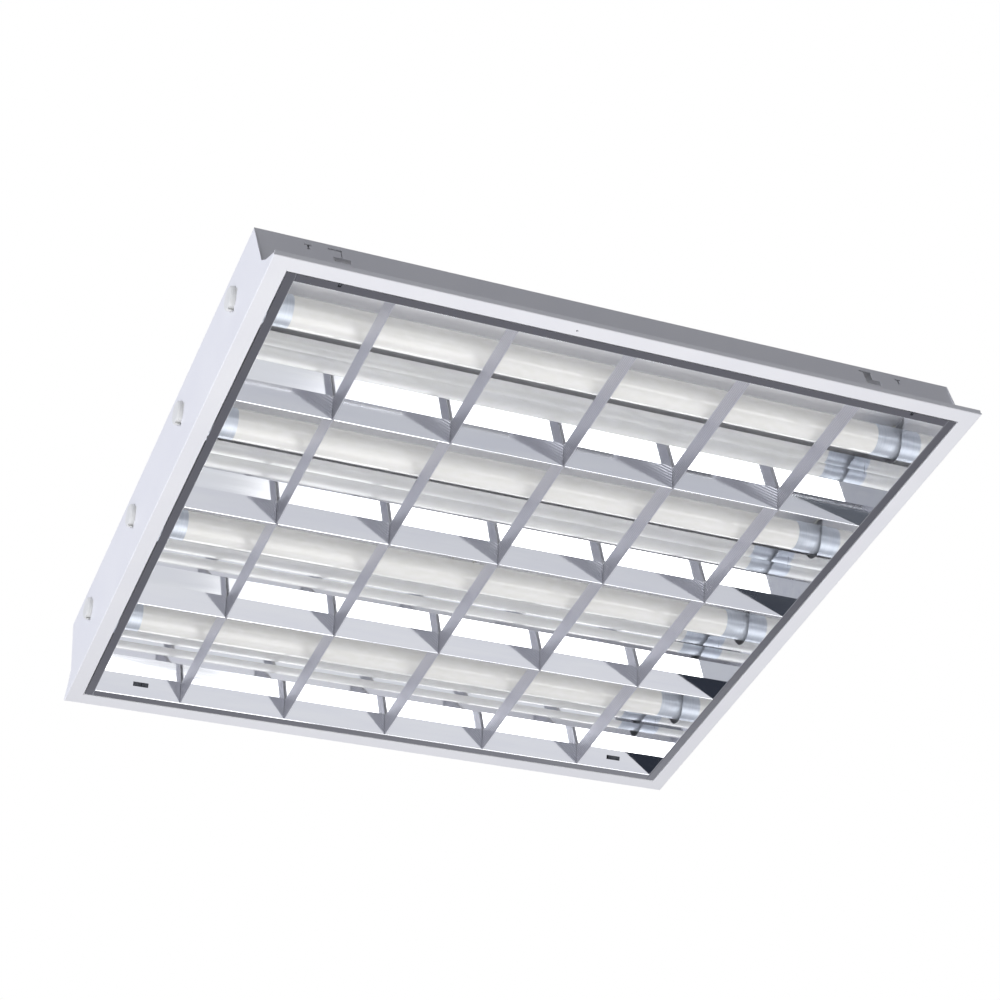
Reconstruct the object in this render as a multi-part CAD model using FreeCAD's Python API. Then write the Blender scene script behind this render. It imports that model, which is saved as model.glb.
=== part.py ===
import FreeCAD, Part
import math
import os

os.makedirs("parts", exist_ok=True)

V = FreeCAD.Vector

# Recessed troffer for a 600 mm ceiling module, in millimetres. The origin is the centre of the light opening in
# the plane of the flange's underside, X runs along the lamps, Y across them and Z up into the ceiling void.

# Overall body
body_size = 595.0
body_height = 60.6
steel = 0.7
steel_bend = 0.2
flange_width = 13.95
lip_height = 4.7
opening_half = body_size / 2 - flange_width
roof_inside = body_height - steel

# Section of the long walls: flange, short upright, shoulder, then a wall that leans inwards
upright_top = 6.0
shoulder_reach = 13.75
shoulder_top = 18.0
wall_lean = 8.1
end_lean = 2.6
flap_width = 12.0
shoulder_half = opening_half - shoulder_reach
roof_half = shoulder_half - wall_lean

# Louvre frame: a flat rim inside the flange, and the mirror sheets that stand on it
aluminium = 0.5
rim_gap = 0.95
rim_width = 7.6
rim_height = 0.75
rim_half = opening_half - rim_gap
louvre_half = rim_half - rim_width

# Flank of the dividers and side reflectors: crease, edge, belly and top, each as distance out and height
crease_out = 8.2
crease_height = 18.0
edge_out = 18.7
edge_height = 30.0
belly_out = 24.0
belly_height = 42.0
top_out = 30.0
top_height = 52.0

# Lamps: straight T8 tubes, 26 mm in diameter, with two-pin caps, one above each row of the louvre
lamp_pitch = louvre_half / 2
lamp_height = 38.0
lamp_radius = 13.0
cap_inset = 2.6
cap_length = 40.4
cap_wall = 0.6
pin_spacing = 12.7
pin_radius = 1.18
pin_length = 7.0
cap_face = body_size / 2 - cap_inset
glass_half = cap_face - cap_length
lamp_rows = (-1.5 * lamp_pitch, -0.5 * lamp_pitch, 0.5 * lamp_pitch, 1.5 * lamp_pitch)
divider_rows = (-lamp_pitch, 0.0, lamp_pitch)

# Cross blades, let through slots in the dividers
end_cell = 78.0
blade_sheet = 0.4
blade_drop = 1.5
blade_half_width = 1.5
blade_fold = 0.45
rib_count = 7
rib_depth = 0.14
blade_clearance = 0.12
blade_top = crease_height - blade_drop
blade_pitch = (louvre_half - end_cell) / 2
blade_columns = (-2 * blade_pitch, -blade_pitch, 0.0, blade_pitch, 2 * blade_pitch)

# End reflectors with a slot round each lamp
slot_below = 5.5
slot_round = lamp_radius + 0.5
slot_waist = lamp_radius + 4.5
slot_mouth = lamp_radius + 11.0
swing_gap = 2.0
tab_height = 8.0
tab_inset = 4.0
tab_reach = 1.2
tab_clearance = 0.2
tab_high = top_height - tab_inset
tab_low = tab_high - tab_height

# Louvre hinge, near side
hinge_inset = 1.2
hinge_height = 1.9
hinge_end = 33.0
hinge_wire_radius = 0.75
hinge_clearance = 0.1
lug_wall = 0.9
lug_width = 1.6
lug_play = 0.7
cheek_width = 1.0
hinge_row = rim_half - hinge_inset
hinge_column = louvre_half - hinge_end
lug_radius = hinge_wire_radius + hinge_clearance + lug_wall
cheek_gap = lug_width + 2 * lug_play

# Sliding catches, far side
catch_end = 40.0
catch_up = 11.2
catch_slot_height = 4.0
catch_tab_width = 5.0
catch_play = 1.25
catch_travel = 6.5
clip_width = 2.8
clip_gap = 1.1
clip_foot = 2.4
catch_sheet = 0.8
catch_nose_width = 6.0
nose_level = 6.7
nose_inset = 3.3
nose_seat = 3.3
nose_clearance = 0.3
catch_column = louvre_half - catch_end
catch_slot_length = catch_tab_width + catch_travel + 2 * catch_play
nose_tip = rim_half - nose_inset

# Hanger slots in the long walls, and the hole in the near flange
hanger_left_end = 42.5
hanger_right_end = 50.5
hanger_low = 40.0
hanger_rise = 15.5
hanger_leg = 7.5
hanger_foot = 14.0
hanger_foot_height = 5.5
hanger_bar = 1.8
hanger_step = 26.0
flange_hole = 1.0
flange_hole_column = -56.5

# Lampholders: a flange inside the end plate and a drum let through it
holder_half_width = 12.0
holder_room = 3.2
holder_below = 13.0
holder_gap = 0.3
holder_wall = 0.5
holder_clearance = 0.25
hook_width = 3.0
hook_reach = 2.2
rotor_rim = 1.17
rotor_clearance = 0.3
rotor_play = 0.1
rotor_wall = 0.4
holder_front = cap_face + holder_gap
holder_back = cap_face + pin_length + rotor_wall + rotor_play + holder_wall
rotor_radius = pin_spacing / 2 + pin_radius + rotor_rim
drum_radius = rotor_radius + rotor_clearance + holder_wall + 0.3

# Ballasts, terminal block, earth stud, cable entry and fixing holes
ballast_spare = 45.0
ballast_width = 30.0
ballast_height = 21.0
ballast_gap = 4.0
foot_length = 12.0
foot_half_width = 9.0
connector_inset = 9.0
connector_half_length = 6.0
connector_half_width = 11.0
connector_depth = 8.0
connector_gap = 0.2
terminal_length = 36.0
terminal_width = 16.0
terminal_height = 14.0
terminal_column = 40.0
terminal_way = 6.0
terminal_seat = 8.0
grommet_column = 95.0
grommet_bore = 5.0
grommet_seat = 9.0
earth_column = -20.0
fixing_end = 60.0
fixing_hole = 2.75
screw_radius = 1.6
wire_radius = 1.1
wire_gap = 7.5
rivet_radius = 1.2
rivet_shift = 62.5
lug_rivet = 6.0
lug_rivet_up = 8.3
keeper_rivet = 9.5
keeper_rivet_up = 7.0
ballast_length = louvre_half - ballast_spare
ballast_column = ballast_length / 2 + foot_length + ballast_gap / 2
fixing_column = louvre_half - fixing_end


def save(name, shape):
    """Write one finished piece."""
    shape.exportStep("parts/" + name + ".step")


def across(y, z):
    """A point of a section seen along the lamps."""
    return V(0, y, z)


def along(x, z):
    """A point of a section seen across the lamps."""
    return V(x, 0, z)


def flat(points):
    """A flat face with straight edges."""
    return Part.Face(Part.makePolygon(points + [points[0]]))


def block(x0, x1, y0, y1, z0, z1):
    """A box between two corners."""
    return Part.makeBox(x1 - x0, y1 - y0, z1 - z0, V(x0, y0, z0))


def prism_x(points, x0, x1):
    """A section of (y, z) points drawn out along X."""
    face = flat([across(y, z) for y, z in points])
    face.translate(V(x0, 0, 0))
    return face.extrude(V(x1 - x0, 0, 0))


def prism_y(points, y0, y1):
    """A section of (x, z) points drawn out along Y."""
    face = flat([along(x, z) for x, z in points])
    face.translate(V(0, y0, 0))
    return face.extrude(V(0, y1 - y0, 0))


def sheet_section(points, thickness, bend, place):
    """Section of a folded sheet: the mid line runs through the points, each corner is a bend of that inner radius."""
    flat_points = [V(a, b, 0) for a, b in points]
    count = len(flat_points)
    outlines = []
    for side in (0.5, -0.5):
        offset = side * thickness
        edges = []
        first = (flat_points[1] - flat_points[0]).normalize()
        start = flat_points[0] + V(-first.y, first.x, 0) * offset
        for index in range(1, count - 1):
            before = (flat_points[index] - flat_points[index - 1]).normalize()
            after = (flat_points[index + 1] - flat_points[index]).normalize()
            turn = math.atan2(before.x * after.y - before.y * after.x, before.dot(after))
            hand = 1 if turn > 0 else -1
            mid_radius = bend + thickness / 2
            cut = mid_radius * math.tan(abs(turn) / 2)
            left_before = V(-before.y, before.x, 0)
            left_after = V(-after.y, after.x, 0)
            enter = flat_points[index] - before * cut
            leave = flat_points[index] + after * cut
            centre = enter + left_before * (mid_radius * hand)
            spread = (enter - centre + leave - centre).normalize()
            middle = centre + spread * (mid_radius - hand * offset)
            enter = enter + left_before * offset
            leave = leave + left_after * offset
            edges.append(("line", start, enter))
            edges.append(("arc", enter, middle, leave))
            start = leave
        last = (flat_points[-1] - flat_points[-2]).normalize()
        edges.append(("line", start, flat_points[-1] + V(-last.y, last.x, 0) * offset))
        outlines.append(edges)
    shapes = []
    for edge in outlines[0] + outlines[1]:
        spots = [place(spot.x, spot.y) for spot in edge[1:]]
        if edge[0] == "line":
            shapes.append(Part.LineSegment(spots[0], spots[1]).toShape())
        else:
            shapes.append(Part.Arc(spots[0], spots[1], spots[2]).toShape())
    ends = ((outlines[0][0][1], outlines[1][0][1]), (outlines[0][-1][2], outlines[1][-1][2]))
    for one, other in ends:
        shapes.append(Part.LineSegment(place(one.x, one.y), place(other.x, other.y)).toShape())
    return Part.Face(Part.Wire(Part.__sortEdges__(shapes)))


def sheet_x(points, thickness, bend, x0, x1):
    """A sheet folded along X."""
    face = sheet_section(points, thickness, bend, across)
    face.translate(V(x0, 0, 0))
    return face.extrude(V(x1 - x0, 0, 0))


def sheet_y(points, thickness, bend, y0, y1):
    """A sheet folded along Y."""
    face = sheet_section(points, thickness, bend, along)
    face.translate(V(0, y0, 0))
    return face.extrude(V(0, y1 - y0, 0))


def joined(shapes):
    """Several shapes made into one solid."""
    return shapes[0].fuse(shapes[1:]).removeSplitter()


def group(shapes):
    """Separate solids of one kind that share a node."""
    return Part.Compound(shapes)


def mirror_x(shape):
    """The same piece at the other end of the body."""
    return shape.mirror(V(0, 0, 0), V(1, 0, 0))


def mirror_y(shape):
    """The same piece on the other long side of the body."""
    return shape.mirror(V(0, 0, 0), V(0, 1, 0))


def rivet(spot, direction, grip):
    """A rivet whose shank fills the grip from the spot on, with a low head at each end."""
    head = rivet_radius * 0.5
    shank = Part.makeCylinder(rivet_radius, grip, spot, direction)
    low = Part.makeCylinder(rivet_radius * 1.8, head, spot - direction * head, direction)
    high = Part.makeCylinder(rivet_radius * 1.8, head, spot + direction * grip, direction)
    return joined([shank, low, high])


def cable(points, radius, bend):
    """A round wire along a path with rounded corners."""
    edges = []
    start = points[0]
    for index in range(1, len(points) - 1):
        before = V(points[index] - points[index - 1]).normalize()
        after = V(points[index + 1] - points[index]).normalize()
        turn = math.acos(max(-1.0, min(1.0, before.dot(after))))
        cut = bend * math.tan(turn / 2)
        enter = points[index] - before * cut
        leave = points[index] + after * cut
        inward = V(after - before).normalize()
        middle = points[index] + inward * (bend / math.cos(turn / 2) - bend)
        edges.append(Part.LineSegment(start, enter).toShape())
        edges.append(Part.Arc(enter, middle, leave).toShape())
        start = leave
    edges.append(Part.LineSegment(start, points[-1]).toShape())
    path = Part.Wire(edges)
    heading = V(points[1] - points[0]).normalize()
    ring = Part.Wire(Part.makeCircle(radius, points[0], heading))
    return path.makePipeShell([ring], True, True)


# ---------------------------------------------------------------- body

# Where the shoulder of the long wall runs, seen along the lamps, for the pieces riveted to it
wall_foot = V(0, opening_half + steel / 2, upright_top)
wall_knee = V(0, shoulder_half, shoulder_top)
wall_run = (wall_knee - wall_foot).normalize()
wall_inward = V(0, -wall_run.z, wall_run.y)


def on_shoulder(distance, depth):
    """A point so far up the shoulder and so deep inside its mid line, as (y, z)."""
    spot = wall_foot + wall_run * distance + wall_inward * depth
    return (spot.y, spot.z)


def end_line(z):
    """X of the inner face of an end plate at a height."""
    return body_size / 2 - steel + end_lean * z / body_height


def tray_half():
    """Mid line of the tray on the far side, from the lip to the roof."""
    outer = body_size / 2 - steel / 2
    return [
        (outer, lip_height),
        (outer, steel / 2),
        (opening_half + steel / 2, steel / 2),
        (opening_half + steel / 2, upright_top),
        (shoulder_half, shoulder_top),
        (roof_half, body_height - steel / 2),
    ]


def wall_at(z):
    """Y of the mid line of the far long wall at a height above its shoulder."""
    return shoulder_half - wall_lean * (z - shoulder_top) / (roof_inside + steel / 2 - shoulder_top)


def wall_window(x0, x1, z0, z1):
    """A cutter through the far long wall."""
    return block(x0, x1, roof_half - 5, shoulder_half + 5, z0, z1)


def hanger_slot(left, open_leg):
    """A hook-shaped slot for a ceiling hanger: a foot, and a leg whose tongue is either bent in or left in place."""
    top = hanger_low + hanger_rise
    right = left + hanger_leg
    cuts = [wall_window(left, left + hanger_foot, hanger_low, hanger_low + hanger_foot_height)]
    cuts.append(wall_window(left - 3.5, right + 0.5, top - hanger_bar, top))
    cuts.append(wall_window(left if open_leg else right - 1.0, right, hanger_low, top))
    return cuts[0].fuse(cuts[1:])


def hanger_tongue(left):
    """The tongue of an open hanger slot, bent inwards along the slot's left side."""
    low = hanger_low + hanger_foot_height
    high = hanger_low + hanger_rise - hanger_bar
    reach = hanger_leg - 1.0
    corners = [(wall_at(low), low), (wall_at(high), high), (wall_at(high) - reach, high), (wall_at(low) - reach, low)]
    return prism_x(corners, left - steel, left)


def spring_slot(column):
    """A small T-shaped slot beside each hanger slot, for the hanger's spring."""
    high = hanger_low + hanger_rise - 1.2
    bar = wall_window(column - 3.0, column + 3.0, high - 1.6, high)
    return bar.fuse(wall_window(column - 1.0, column + 1.0, high - 6.5, high))


def wall_slots():
    """All slots of the far long wall."""
    left = -(louvre_half - hanger_left_end) - hanger_foot / 2
    right = louvre_half - hanger_right_end - hanger_foot / 2
    slots = [hanger_slot(left, False), hanger_slot(right, True)]
    slots.append(spring_slot(left - hanger_step + hanger_foot / 2))
    slots.append(spring_slot(right + hanger_step + hanger_foot / 2))
    return slots


def housing_tray():
    """Roof, long walls and long flanges, folded from one sheet."""
    half = tray_half()
    section = half + [(-y, z) for y, z in reversed(half)]
    reach = body_size / 2 + end_lean + 1
    tray = sheet_x(section, steel, steel_bend, -reach, reach)
    gap = 0.04
    sides = [(-end_line(0) + gap, 0), (end_line(0) - gap, 0)]
    tops = [(end_line(body_height) - gap, body_height), (-end_line(body_height) + gap, body_height)]
    tray = tray.common(prism_y(sides + tops, -body_size, body_size))
    tongue = hanger_tongue(louvre_half - hanger_right_end - hanger_foot / 2)
    tray = joined([tray, tongue, mirror_y(tongue)])
    holes = wall_slots() + [mirror_y(slot) for slot in wall_slots()]
    holes.append(Part.makeCylinder(flange_hole, 2 * steel, V(flange_hole_column, -(opening_half + 6.0), -steel / 2)))
    for side in (-1, 1):
        for row in (-lamp_pitch, lamp_pitch):
            holes.append(Part.makeCylinder(fixing_hole, 4, V(side * fixing_column, row, roof_inside - 2)))
        holes.append(Part.makeCylinder(screw_radius, 4, V(side * (ballast_column - ballast_end()), 0, roof_inside - 2)))
        holes.append(Part.makeCylinder(screw_radius, 4, V(side * (ballast_column + ballast_end()), 0, roof_inside - 2)))
        for end in (-1, 1):
            holes.append(block(min(end * opening_half, end * body_size), max(end * opening_half, end * body_size),
                               min(side * (opening_half - 1), side * flange_foot()),
                               max(side * (opening_half - 1), side * flange_foot()),
                               -steel, steel + steel_bend + 0.05))
    holes.append(Part.makeCylinder(grommet_seat, 4, V(grommet_column, lamp_pitch, roof_inside - 2)))
    holes.append(Part.makeCylinder(screw_radius, 4, V(terminal_column, lamp_pitch, roof_inside - 2)))
    for spot, direction in end_rivet_spots() + bracket_rivet_spots():
        holes.append(Part.makeCylinder(rivet_radius, 6, spot - direction * 3, direction))
    return tray.cut(holes)


def flange_foot():
    """Where the flat part of a long flange begins, past its bend: the end plates' flanges reach up to it."""
    return opening_half + steel + steel_bend


def ballast_end():
    """Distance from the middle of a ballast to its fixing screws."""
    return (ballast_length + foot_length) / 2


def end_outline():
    """Outline of an end plate: it follows the tray and flares out to the flange corners."""
    half = body_size / 2
    side = [(half, 0), (half, 2.0), (opening_half + 4.5, upright_top + 0.5), (opening_half - 3.0, upright_top + 4.5),
            (shoulder_half + 2.2, shoulder_top - 0.5), (roof_half + 0.5, body_height)]
    return side + [(-y, z) for y, z in reversed(side)]


def end_flange_top():
    """Mid height of the flap that an end plate folds in under the roof."""
    return roof_inside - steel / 2


def end_plate():
    """Right end plate: flange, leaning plate and a flap under the roof, with a window for each lampholder."""
    foot = body_size / 2 - steel / 2
    lean = end_lean * end_flange_top() / body_height
    flange = opening_half + steel / 2
    top = end_flange_top()
    section = [(flange, steel / 2), (foot, steel / 2), (foot + lean, top), (foot - flap_width, top)]
    plate = sheet_y(section, steel, steel_bend, -body_size / 2, body_size / 2)
    plate = plate.common(prism_x(end_outline(), flange - 2, body_size / 2 + 6))
    trims = []
    for side in (-1, 1):
        trims.append(block(flange - 5, foot - steel / 2, min(side * flange_foot(), side * body_size),
                           max(side * flange_foot(), side * body_size), -1, shoulder_top - 3))
        trims.append(block(flange - 5, end_line(top - 3.0), min(side * (roof_half - 11.0), side * body_size),
                           max(side * (roof_half - 11.0), side * body_size), top - 3.0, body_height))
    for row in lamp_rows:
        trims += holder_window(row)
    for spot, direction in end_rivet_spots():
        trims.append(Part.makeCylinder(rivet_radius, 6, spot - direction * 3, direction))
    lip = sheet_y([(flange, steel / 2), (flange, upright_top)], steel, 0.1, -opening_half, opening_half)
    return plate.cut(trims).fuse(lip).removeSplitter()


def holder_window(row):
    """Cutters for the window of one lampholder: a round hole with a slit below it and a notch on each side."""
    start = body_size / 2 - 3.0
    depth = end_lean + 8.0
    window = drum_radius + holder_clearance
    hook = hook_width / 2 + holder_clearance
    reach = drum_radius + hook_reach + holder_clearance
    cuts = [Part.makeCylinder(window, depth, V(start, row, lamp_height), V(1, 0, 0))]
    cuts.append(block(start, start + depth, row - reach, row + reach, lamp_height - hook, lamp_height + hook))
    cuts.append(block(start, start + depth, row - entry_half(), row + entry_half(), lamp_height - window - 2.5,
                      lamp_height))
    return cuts


def entry_half():
    """Half the width of the slit that lets a lamp's pins into the holder."""
    return pin_radius + 0.42


def end_rivet_spots():
    """Underside centre of each rivet that joins the end plates to the roof."""
    spots = []
    column = body_size / 2 - steel - flap_width / 2
    for end in (-1, 1):
        for row in divider_rows[::2]:
            for shift in (-rivet_shift, rivet_shift):
                spots.append((V(end * column, row + shift, end_flange_top() - steel / 2), V(0, 0, 1)))
    return spots


def end_rivets():
    """Eight rivets through roof and end plates."""
    return group([rivet(spot, direction, 2 * steel) for spot, direction in end_rivet_spots()])


def bracket_rivet_spots():
    """Where the rivets of the hinge lugs and catch keepers go through the shoulders, with their direction."""
    spots = []
    for end in (-1, 1):
        for shift in (-lug_rivet, lug_rivet):
            y, z = on_shoulder(lug_rivet_up, steel / 2)
            spots.append((V(end * (hinge_column + shift), -y, z), V(0, -wall_inward.y, wall_inward.z)))
        for shift in (-keeper_rivet, keeper_rivet):
            y, z = on_shoulder(keeper_rivet_up, steel / 2)
            spots.append((V(end * (catch_column + shift), y, z), wall_inward))
    return spots


def bracket_rivets():
    """Rivets through the shoulders and the feet of the lugs and keepers."""
    rivets = []
    for spot, direction in bracket_rivet_spots():
        rivets.append(rivet(spot - direction * steel, direction, steel + catch_sheet))
    return group(rivets)


def hinge_lug():
    """Right hinge lug: a foot on the inside of the near shoulder and an eye round the hinge wire."""
    depth = steel / 2 + catch_sheet / 2
    half = lug_rivet + 3.0
    foot = sheet_x([on_shoulder(2.2, depth), on_shoulder(lug_rivet_up + 3.2, depth)], catch_sheet, 0.1, -half, half)
    eye = Part.makeCylinder(lug_radius, lug_width, V(-lug_width / 2, hinge_row, hinge_height), V(1, 0, 0))
    low = (hinge_row + lug_radius - 0.05, hinge_height)
    heel = (hinge_row - lug_radius + 0.05, hinge_height)
    arm = prism_x([low, heel, on_shoulder(lug_rivet_up + 0.7, depth), on_shoulder(3.0, depth)],
                  -lug_width / 2, lug_width / 2)
    bore = Part.makeCylinder(hinge_wire_radius + hinge_clearance, 2 * lug_width, V(-lug_width, hinge_row, hinge_height),
                             V(1, 0, 0))
    lug = joined([foot, eye, arm]).cut(bore)
    for shift in (-lug_rivet, lug_rivet):
        y, z = on_shoulder(lug_rivet_up, steel / 2)
        lug = lug.cut(Part.makeCylinder(rivet_radius, 4, V(shift, y, z) - wall_inward * 2, wall_inward))
    lug = mirror_y(lug)
    lug.translate(V(hinge_column, 0, 0))
    return lug


def catch_keeper():
    """Right catch keeper: a foot on the far shoulder and a ledge that the nose of the catch rests on."""
    depth = steel / 2 + catch_sheet / 2
    ledge_height = nose_level - nose_clearance - catch_sheet / 2
    ledge_edge = nose_tip - nose_seat
    half = keeper_rivet + 3.5
    bend_at = (ledge_height - on_shoulder(0, depth)[1]) / wall_run.z
    section = [(ledge_edge, ledge_height), on_shoulder(bend_at, depth), on_shoulder(keeper_rivet_up + 2.5, depth)]
    keeper = sheet_x(section, catch_sheet, 0.2, -half, half)
    release = block(catch_nose_width / 2 + nose_clearance, half + 1, ledge_edge - 6, nose_tip + 1.3, 0, ledge_height + 1)
    spare = block(-half - 1, -catch_nose_width / 2 - 3, ledge_edge - 6, nose_tip + 1.3, 0, ledge_height + 1)
    keeper = keeper.cut([release, spare])
    for shift in (-keeper_rivet, keeper_rivet):
        y, z = on_shoulder(keeper_rivet_up, steel / 2)
        keeper = keeper.cut(Part.makeCylinder(rivet_radius, 4, V(shift, y, z) - wall_inward * 2, wall_inward))
    keeper.translate(V(catch_column, 0, 0))
    return keeper


def lampholder(row):
    """Right lampholder: a flange inside the end plate, a drum through its window and a hook on each side."""
    low = lamp_height - holder_below
    high = roof_inside - steel - holder_room
    flange = block(holder_front, end_line(low) - 0.1, row - holder_half_width, row + holder_half_width, low, high)
    drum = Part.makeCylinder(drum_radius, holder_back - holder_front, V(holder_front, row, lamp_height), V(1, 0, 0))
    drum = drum.makeChamfer(1.2, [edge for edge in drum.Edges if abs(edge.CenterOfMass.x - holder_back) < 0.01])
    reach = drum_radius + hook_reach
    hooks = block(holder_front, end_line(lamp_height) + steel, row - reach, row + reach,
                  lamp_height - hook_width / 2, lamp_height + hook_width / 2)
    body = joined([flange, drum, hooks])
    inside = holder_back - holder_wall
    bore = Part.makeCylinder(rotor_radius + rotor_clearance, inside - holder_front + 1,
                             V(holder_front - 1, row, lamp_height), V(1, 0, 0))
    entry = block(holder_front - 1, inside, row - entry_half(), row + entry_half(), low - 1, lamp_height)
    return body.cut([bore, entry])


def rotor(row):
    """Right rotor: a disc with a slot across it that grips both lamp pins."""
    back = holder_back - holder_wall - rotor_play
    disc = Part.makeCylinder(rotor_radius, back - holder_front, V(holder_front, row, lamp_height), V(1, 0, 0))
    pins = pin_radius + 0.02
    slot = block(holder_front - 1, back - rotor_wall, row - rotor_radius, row + rotor_radius,
                 lamp_height - pins, lamp_height + pins)
    return disc.cut(slot)


def ballast(column):
    """An electronic ballast: a long can with a fixing foot at each end, screwed to the roof."""
    half = ballast_length / 2
    can = block(column - half, column + half, -ballast_width / 2, ballast_width / 2,
                roof_inside - ballast_height, roof_inside)
    can = can.makeFillet(1.5, [edge for edge in can.Edges if abs(edge.Length - ballast_length) < 0.1])
    foot = block(column - half - foot_length, column + half + foot_length, -foot_half_width, foot_half_width,
                 roof_inside - 1.0, roof_inside)
    pockets = []
    length = connector_half_length + connector_gap
    width = connector_half_width + connector_gap
    for end in (-1, 1):
        middle = column + end * (half - connector_inset)
        pockets.append(block(middle - length, middle + length, -width, width,
                             roof_inside - ballast_height - 1, roof_inside - ballast_height + connector_depth))
        pockets.append(Part.makeCylinder(screw_radius, 4, V(column + end * ballast_end(), 0, roof_inside - 2)))
    return joined([can, foot]).cut(pockets)


def ballast_connectors():
    """Push-in connector blocks let into the underside of both ballasts, with a row of wire holes."""
    blocks = []
    low = roof_inside - ballast_height
    for column in (-ballast_column, ballast_column):
        for end in (-1, 1):
            middle = column + end * (ballast_length / 2 - connector_inset)
            body = block(middle - connector_half_length, middle + connector_half_length,
                         -connector_half_width, connector_half_width, low - 0.5, low + connector_depth)
            pitch = 2 * connector_half_width / 5.5
            holes = []
            for number in (-2, -1, 0, 1, 2):
                holes.append(Part.makeCylinder(1.3, 6, V(middle, pitch * number, low - 1)))
            blocks.append(body.cut(holes))
    return group(blocks)


def terminal_block():
    """Mains terminal block with three ways, hanging from the roof."""
    half = terminal_length / 2
    low = roof_inside - terminal_height
    body = block(terminal_column - half, terminal_column + half, lamp_pitch - terminal_width / 2,
                 lamp_pitch + terminal_width / 2, low, roof_inside)
    body = body.makeFillet(1.0, [edge for edge in body.Edges if abs(edge.Length - terminal_width) < 0.1])
    cuts = [Part.makeCylinder(screw_radius, 2 * terminal_height, V(terminal_column, lamp_pitch, low - 1))]
    cuts.append(Part.makeCylinder(2.9, terminal_seat + 1, V(terminal_column, lamp_pitch, low - 1)))
    for way in (-2, -1, 1, 2):
        column = terminal_column + way * terminal_way
        cuts.append(Part.makeCylinder(1.7, 4, V(column, lamp_pitch, low - 1)))
        cuts.append(Part.makeCylinder(1.6, 5, V(column, lamp_pitch - terminal_width / 2 - 1, low + terminal_height / 2),
                                      V(0, 1, 0)))
    return body.cut(cuts)


def pan_screw(spot, length):
    """A screw that enters upwards at the spot, its head below."""
    shank = Part.makeCylinder(screw_radius, length, spot)
    head = Part.makeCylinder(2.8, 1.8, spot - V(0, 0, 1.8))
    drive = block(spot.x - 2.2, spot.x + 2.2, spot.y - 0.4, spot.y + 0.4, spot.z - 2, spot.z - 1)
    return joined([shank, head]).cut(drive)


def body_screws():
    """Screws of the two ballasts and of the terminal block."""
    screws = []
    for column in (-ballast_column, ballast_column):
        for end in (-1, 1):
            screws.append(pan_screw(V(column + end * ballast_end(), 0, roof_inside - 1.0), 1.0 + steel + 1.2))
    depth = terminal_height - terminal_seat
    screws.append(pan_screw(V(terminal_column, lamp_pitch, roof_inside - depth), depth + steel + 1.2))
    return group(screws)


def cable_grommet():
    """Rubber grommet snapped into the roof: two collars, a groove for the sheet and a bore for the cable."""
    outer = Part.makeCylinder(grommet_seat + 2, 1.5, V(grommet_column, lamp_pitch, body_height))
    outer = outer.makeFillet(0.7, [outer.Edges[0]])
    neck = Part.makeCylinder(grommet_seat, steel, V(grommet_column, lamp_pitch, roof_inside))
    inner = Part.makeCylinder(grommet_seat + 1.5, 1.5, V(grommet_column, lamp_pitch, roof_inside - 1.5))
    bore = Part.makeCylinder(grommet_bore, 8, V(grommet_column, lamp_pitch, roof_inside - 3))
    return joined([outer, neck, inner]).cut(bore)


def earth_stud():
    """Stud welded under the roof, and the nut on it."""
    plate = Part.makeCylinder(4.5, 0.6, V(earth_column, lamp_pitch, roof_inside - 0.6))
    stud = Part.makeCylinder(2.0, 12.0, V(earth_column, lamp_pitch, roof_inside - 12.0))
    corners = []
    for number in range(7):
        turn = math.radians(60 * number)
        corners.append(V(earth_column + 4.04 * math.cos(turn), lamp_pitch + 4.04 * math.sin(turn), roof_inside - 6))
    nut = Part.Face(Part.makePolygon(corners)).extrude(V(0, 0, 3.2))
    nut = nut.cut(Part.makeCylinder(2.0, 12.0, V(earth_column, lamp_pitch, roof_inside - 12.0)))
    return group([joined([plate, stud]), nut])


def internal_wires():
    """Loom: from each ballast along the roof to its end, then across the end over the lampholders, and the mains
    pair from the terminal block to the inner ends of the ballasts."""
    level = roof_inside - wire_radius - 0.9
    wires = []
    for end in (-1, 1):
        for strand in (0, 1):
            x_turn = end * (louvre_half + wire_gap + 3.0 * strand)
            y_start = 3.0 * strand - 1.5
            for side in (-1, 1):
                if side == 1 and strand == 0:
                    continue
                if side == -1 and strand == 1:
                    continue
                start = V(end * (ballast_column + ballast_length / 2 + foot_length + 1), y_start, level)
                corner = V(x_turn, y_start, level)
                finish = V(x_turn, side * 1.5 * lamp_pitch, level)
                wires.append(cable([start, corner, finish], wire_radius, 6.0))
    for strand in (0, 1):
        x_run = 10.0 - 20.0 * strand
        start = V(terminal_column - terminal_length / 2 - 1.0, lamp_pitch - 3.0 + 6.0 * strand, level - 3)
        corner = V(x_run, lamp_pitch - 3.0 + 6.0 * strand, level - 3)
        finish = V(x_run, 2.0, level - 3)
        wires.append(cable([start, corner, finish], wire_radius, 6.0))
    return group(wires)


# ---------------------------------------------------------------- louvre

def mirror_profile():
    """One flank of the double-parabolic section, as (distance out, height): crease, edge, then a hollow belly."""
    return [(crease_out, crease_height), (edge_out, edge_height), (belly_out, belly_height), (top_out, top_height)]


def blade_slot(column, low):
    """The opening that a cross blade needs in a divider, a little wider than its V."""
    top = blade_half_width + blade_sheet / 2 + rib_depth + blade_clearance
    foot = blade_fold + blade_sheet / 2 + rib_depth + blade_clearance
    at_low = foot + (top - foot) * (low - 1.0) / (blade_top - 1.0) if low > 1 else foot
    points = [(column - at_low, low), (column + at_low, low), (column + top, blade_top), (column - top, blade_top)]
    return points


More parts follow.
